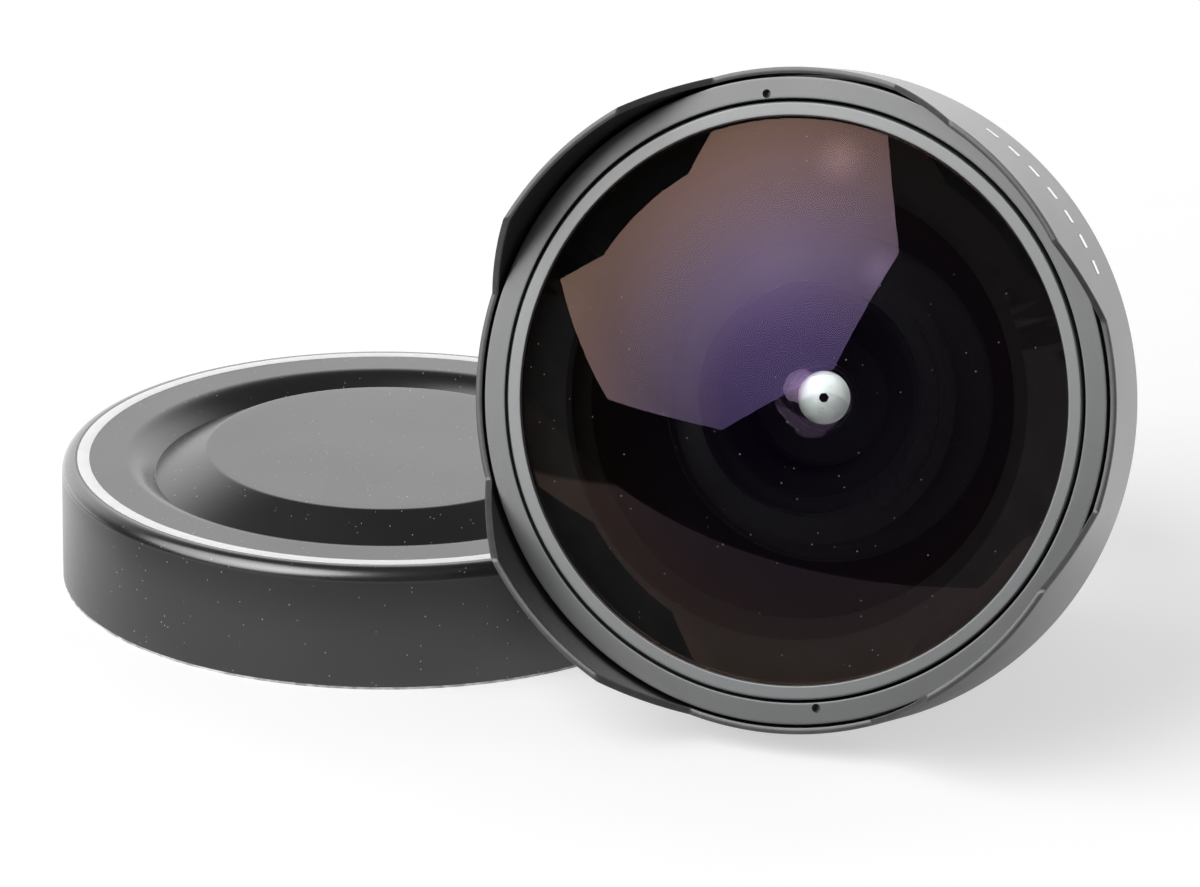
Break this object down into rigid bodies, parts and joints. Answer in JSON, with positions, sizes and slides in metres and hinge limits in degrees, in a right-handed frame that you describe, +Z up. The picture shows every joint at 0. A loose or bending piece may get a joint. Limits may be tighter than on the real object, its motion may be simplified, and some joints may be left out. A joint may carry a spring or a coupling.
{
  "type": "fisheye lens with cap",
  "caption": "Wide fisheye camera lens with a domed front glass, petal hood, focus and aperture rings, closing iris and breech mount, lying beside its slip-on cap.",
  "frame": {"origin": "middle of the footprint of lens and cap, on the table they lie on", "axes": "+X to the right seen from the front, with the cap on the left; +Y away from the front glass, towards the mount; +Z up"},
  "size_m": [0.1916, 0.1194, 0.1055],
  "materials": {
    "hood_paint": "satin black paint",
    "ring_paint": "satin black paint",
    "bezel_paint": "satin black anodise",
    "inner_black": "matt black",
    "coated_glass": "polished with a violet coating",
    "seal_rubber": "matt",
    "blade_steel": "bright",
    "steel": "bright",
    "brass": "turned",
    "plain_aluminium": "turned",
    "mount_chrome": "satin",
    "cap_paint": "satin black paint",
    "felt": "short pile"
  },
  "bodies": {
    "rear_body": {"focus_seat": "plain_aluminium", "focus_keeper": "plain_aluminium", "guide_sleeve": "plain_aluminium", "guide_keys": "brass", "key_screws": "steel", "rear_barrel": "ring_paint", "depth_ring": "ring_paint", "depth_ring_screws": "steel", "click_ball": "steel", "click_spring": "steel", "stop_pin_spring": "steel", "bayonet_flange": "mount_chrome", "flange_screws": "steel"},
    "focus_grip": {"focus_helicoid": "brass", "focus_ring": "ring_paint", "focus_set_screws": "steel"},
    "aperture_grip": {"aperture_ring": "ring_paint", "aperture_fork": "brass"},
    "iris_drive": {"iris_drive_ring": "steel"},
    "blade_1": {"iris_blade_1": "blade_steel"},
    "blade_2": {"iris_blade_2": "blade_steel"},
    "blade_3": {"iris_blade_3": "blade_steel"},
    "blade_4": {"iris_blade_4": "blade_steel"},
    "blade_5": {"iris_blade_5": "blade_steel"},
    "blade_6": {"iris_blade_6": "blade_steel"},
    "mode_slider": {"mode_switch": "steel"},
    "stop_pin": {"stop_down_pin": "steel"},
    "cap": {"cap_shell": "cap_paint", "cap_felt": "felt"},
    "front_unit": {"petal_hood": "hood_paint", "front_barrel": "hood_paint", "spanner_ring": "ring_paint", "front_bezel": "bezel_paint", "front_element": "coated_glass", "front_seal": "seal_rubber", "front_cell": "inner_black", "second_element": "coated_glass", "second_retainer": "inner_black", "third_element": "coated_glass", "fourth_element": "coated_glass", "third_retainer": "inner_black", "iris_cover": "inner_black", "iris_housing": "inner_black", "rear_cell": "inner_black", "fifth_element": "coated_glass", "sixth_element": "coated_glass", "rear_spacer": "inner_black", "seventh_element": "coated_glass", "eighth_element": "coated_glass", "rear_retainer": "inner_black", "filter_rim": "inner_black", "filter_glass": "coated_glass", "inner_helicoid": "brass", "helicoid_screws": "steel"}
  },
  "joints": [
    {"name": "focus_turn", "type": "hinge", "parent": "rear_body", "child": "focus_grip", "pos_m": [0.0428, 0.04164, 0.03159], "axis": [0, -0.9574, 0.2888], "range_deg": [0, 150]},
    {"name": "front_extend", "type": "slide", "parent": "rear_body", "child": "front_unit", "axis": [0, -0.9574, 0.2888], "range_m": [0, 0.0042]},
    {"name": "aperture_turn", "type": "hinge", "parent": "rear_body", "child": "aperture_grip", "pos_m": [0.0428, 0.04164, 0.03159], "axis": [0, -0.9574, 0.2888], "range_deg": [0, 45]},
    {"name": "iris_turn", "type": "hinge", "parent": "front_unit", "child": "iris_drive", "pos_m": [0.0428, 0.04164, 0.03159], "axis": [0, -0.9574, 0.2888], "range_deg": [0, 45]},
    {"name": "blade_1_swing", "type": "hinge", "parent": "front_unit", "child": "blade_1", "pos_m": [0.0624, 0.00794, 0.04176], "axis": [0, -0.9574, 0.2888], "range_deg": [-26.5, 0]},
    {"name": "blade_2_swing", "type": "hinge", "parent": "front_unit", "child": "blade_2", "pos_m": [0.0526, 0.01285, 0.05801], "axis": [0, -0.9574, 0.2888], "range_deg": [-26.5, 0]},
    {"name": "blade_3_swing", "type": "hinge", "parent": "front_unit", "child": "blade_3", "pos_m": [0.033, 0.01285, 0.05801], "axis": [0, -0.9574, 0.2888], "range_deg": [-26.5, 0]},
    {"name": "blade_4_swing", "type": "hinge", "parent": "front_unit", "child": "blade_4", "pos_m": [0.0232, 0.00794, 0.04176], "axis": [0, -0.9574, 0.2888], "range_deg": [-26.5, 0]},
    {"name": "blade_5_swing", "type": "hinge", "parent": "front_unit", "child": "blade_5", "pos_m": [0.033, 0.00304, 0.02551], "axis": [0, -0.9574, 0.2888], "range_deg": [-26.5, 0]},
    {"name": "blade_6_swing", "type": "hinge", "parent": "front_unit", "child": "blade_6", "pos_m": [0.0526, 0.00304, 0.02551], "axis": [0, -0.9574, 0.2888], "range_deg": [-26.5, 0]},
    {"name": "mode_turn", "type": "hinge", "parent": "rear_body", "child": "mode_slider", "pos_m": [0.0428, 0.04164, 0.03159], "axis": [0, -0.9574, 0.2888], "range_deg": [0, 14]},
    {"name": "stop_pin_push", "type": "slide", "parent": "rear_body", "child": "stop_pin", "axis": [0, -0.9574, 0.2888], "range_m": [0, 0.003], "stiffness_N_per_m": 300, "deforming": ["stop_pin_spring"]},
    {"name": "cap_lift", "type": "slide", "parent": "rear_body", "child": "cap", "axis": [-0.866, 0, 0.5], "range_m": [0, 0.12]}
  ],
  "couplings": [
    {"joint": "front_extend", "follows": "focus_turn", "m_per_rad": 0.0016043},
    {"joint": "iris_turn", "follows": "aperture_turn", "ratio": 1},
    {"joint": "blade_1_swing", "follows": "aperture_turn", "ratio": -0.58889},
    {"joint": "blade_2_swing", "follows": "aperture_turn", "ratio": -0.58889},
    {"joint": "blade_3_swing", "follows": "aperture_turn", "ratio": -0.58889},
    {"joint": "blade_4_swing", "follows": "aperture_turn", "ratio": -0.58889},
    {"joint": "blade_5_swing", "follows": "aperture_turn", "ratio": -0.58889},
    {"joint": "blade_6_swing", "follows": "aperture_turn", "ratio": -0.58889}
  ]
}
